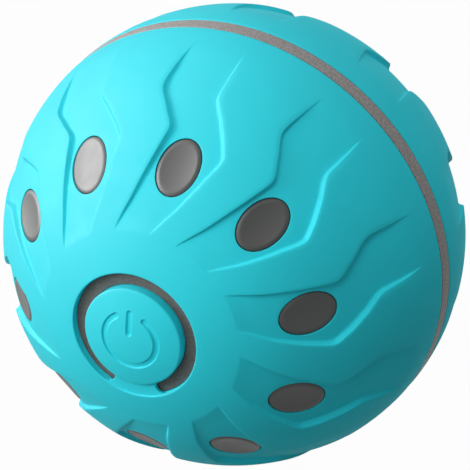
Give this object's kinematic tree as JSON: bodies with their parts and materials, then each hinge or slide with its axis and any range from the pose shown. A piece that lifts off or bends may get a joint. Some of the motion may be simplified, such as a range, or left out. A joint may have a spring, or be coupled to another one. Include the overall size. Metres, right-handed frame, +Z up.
{
  "type": "motorised pet ball",
  "caption": "Motor-driven pet ball: channelled silicone covers over a grey shell, oval windows, a push pad at one pole and a spinning eccentric weight inside.",
  "frame": {"origin": "the ball's centre", "axes": "-Y points out of the push pad, along the pole axis; +Z points up in the pad's symbol, so the pad's web is on the -Z side; the seam and band lie in the XZ plane"},
  "size_m": [0.08, 0.0804, 0.08],
  "materials": {
    "silicone": "soft matte moulded silicone, aqua blue",
    "shell_plastic": "satin grey moulded plastic",
    "band_plastic": "blasted, fine speckle",
    "black_plastic": "matte",
    "white_plastic": "satin",
    "red_plastic": "satin",
    "board_laminate": "green solder mask",
    "cell_sleeve": "shrink sleeve",
    "steel": "plain",
    "brass": "plain",
    "weight_metal": "cast, bare"
  },
  "bodies": {
    "case": {"front_cover": "silicone", "rear_cover": "silicone", "front_shell": "shell_plastic", "rear_shell": "shell_plastic", "equator_band": "band_plastic", "case_screw_1": "steel", "case_screw_2": "steel", "case_screw_3": "steel", "case_screw_4": "steel", "circuit_board": "board_laminate", "switch_body": "black_plastic", "control_chip": "black_plastic", "motion_sensor": "brass", "battery_connector": "white_plastic", "board_screw_1": "steel", "board_screw_2": "steel", "board_screw_3": "steel", "chassis": "black_plastic", "battery_cell": "cell_sleeve", "battery_strap": "steel", "strap_screw_1": "steel", "strap_screw_2": "steel", "charge_socket": "steel", "charge_board": "board_laminate", "motor_can": "steel", "motor_cap": "white_plastic", "motor_screw_1": "steel", "motor_screw_2": "steel", "idler_pin": "steel", "front_bush": "brass", "rear_bush": "brass", "gear_cover": "black_plastic", "cover_screw_1": "steel", "cover_screw_2": "steel", "cover_screw_3": "steel"},
    "pad": {"button_pad": "silicone"},
    "plunger": {"button_plunger": "white_plastic", "switch_stem": "red_plastic"},
    "weight": {"eccentric_weight": "weight_metal", "output_gear": "white_plastic", "output_shaft": "steel", "shaft_clip": "steel", "weight_screw": "steel"},
    "idler": {"idler_gear": "white_plastic"},
    "rotor": {"motor_shaft": "steel", "motor_pinion": "brass"}
  },
  "joints": [
    {"name": "button_press", "type": "hinge", "parent": "case", "child": "pad", "pos_m": [0, -0.03765, -0.0111], "axis": [-1, 0, 0], "range_deg": [0, 2.3], "stiffness_Nm_per_rad": 0.4},
    {"name": "plunger_slide", "type": "slide", "parent": "case", "child": "plunger", "axis": [0, 1, 0], "range_m": [0, 0.0005]},
    {"name": "weight_spin", "type": "hinge", "parent": "case", "child": "weight", "pos_m": [0, 0, 0], "axis": [0, 1, 0], "continuous": true},
    {"name": "idler_spin", "type": "hinge", "parent": "case", "child": "idler", "pos_m": [0.01265, 0, 0.006], "axis": [0, 1, 0], "continuous": true},
    {"name": "rotor_spin", "type": "hinge", "parent": "case", "child": "rotor", "pos_m": [0, 0, 0.009], "axis": [0, 1, 0], "continuous": true}
  ],
  "couplings": [
    {"joint": "plunger_slide", "follows": "button_press", "m_per_rad": 0.0111},
    {"joint": "idler_spin", "follows": "weight_spin", "ratio": -2.5},
    {"joint": "rotor_spin", "follows": "weight_spin", "ratio": 5.625}
  ]
}
